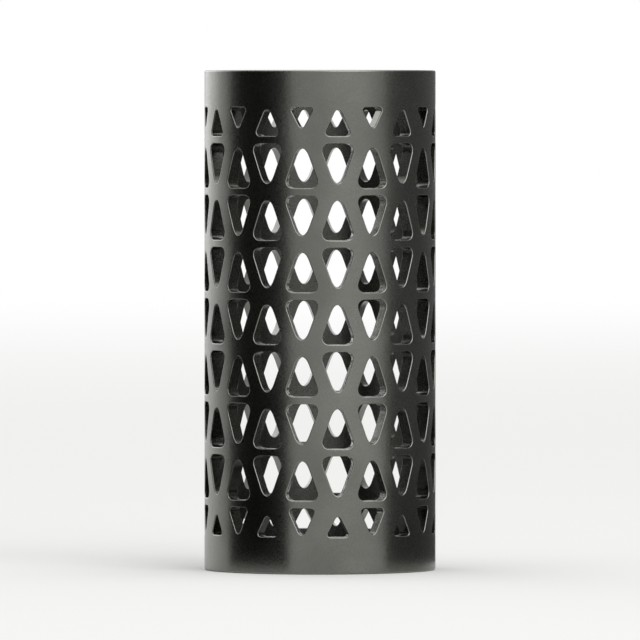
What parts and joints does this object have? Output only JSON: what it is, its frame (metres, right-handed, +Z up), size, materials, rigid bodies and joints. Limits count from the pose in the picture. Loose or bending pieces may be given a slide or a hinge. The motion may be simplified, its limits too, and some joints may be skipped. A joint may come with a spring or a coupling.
{
  "type": "spinal interbody cage",
  "caption": "Upright tubular titanium mesh cage with plain end bands, triangular windows all round and an open lumen for bone graft.",
  "frame": {"origin": "centre of the lower end face", "axes": "+Z up along the tube's axis, -Y towards the front, where two columns of windows stand half a column either side of the middle"},
  "size_m": [0.025, 0.025, 0.054],
  "materials": {
    "dark_titanium": "fine blasted, satin, dark grey titanium alloy"
  },
  "bodies": {
    "root": {"mesh_cage": "dark_titanium"}
  },
  "joints": []
}
